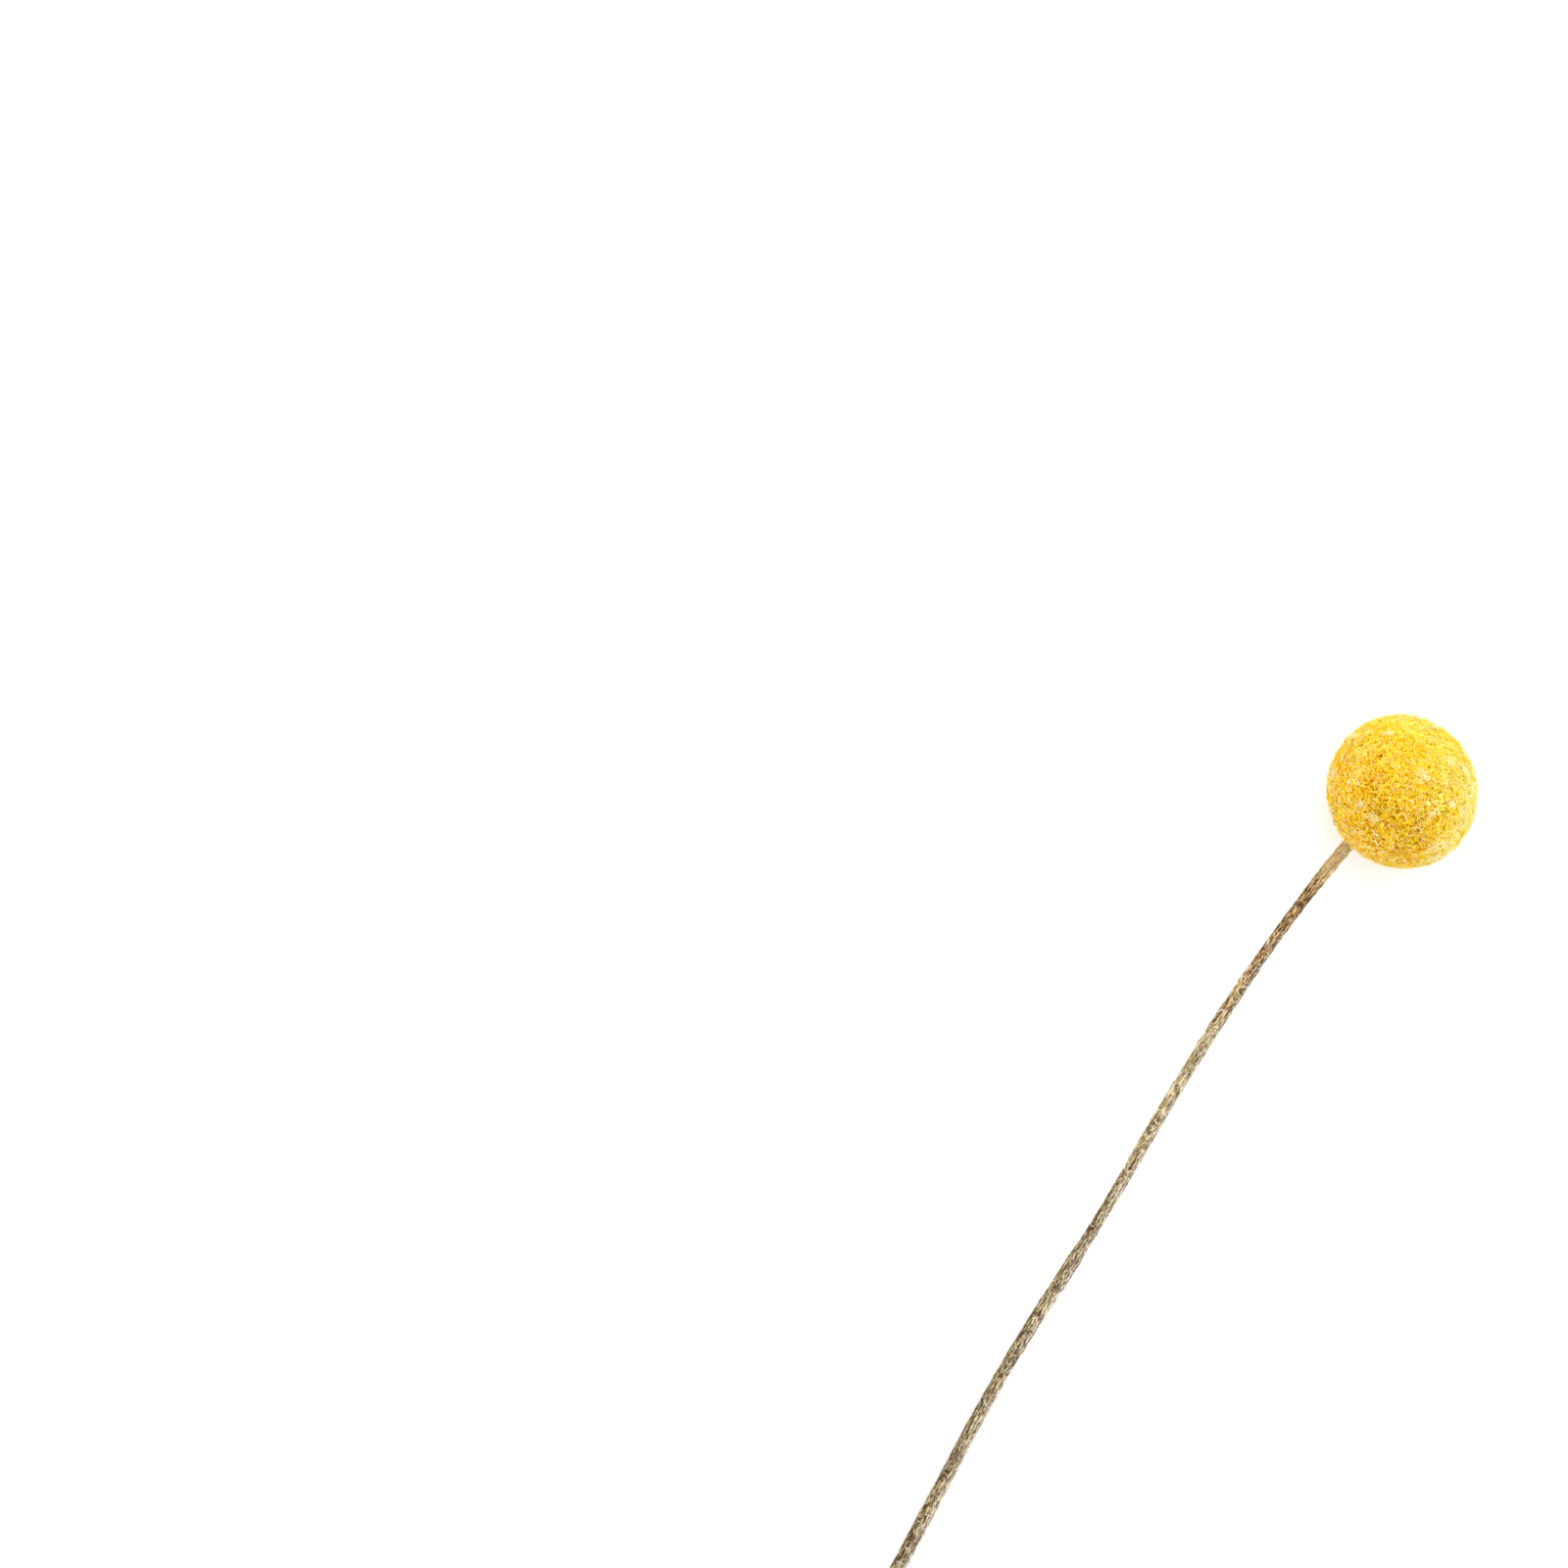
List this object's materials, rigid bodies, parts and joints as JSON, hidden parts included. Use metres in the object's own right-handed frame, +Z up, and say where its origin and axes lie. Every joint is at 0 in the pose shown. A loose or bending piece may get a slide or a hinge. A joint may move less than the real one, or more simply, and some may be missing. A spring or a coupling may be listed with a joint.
{
  "type": "billy buttons stem",
  "caption": "Dried billy buttons flower lying down: a round yellow head packed with tiny florets on a thin, ribbed, woolly and slightly bowed stem.",
  "frame": {"origin": "on the surface the stem lies on, under the middle of its bounding box", "axes": "+X from the cut foot towards the flower head, +Y towards the side the stem bows to, +Z up"},
  "size_m": [0.3804, 0.0285, 0.0273],
  "materials": {
    "dried_stem": "matte",
    "florets": "matte"
  },
  "bodies": {
    "root": {"stem": "dried_stem", "flower_head": "florets"}
  },
  "joints": []
}
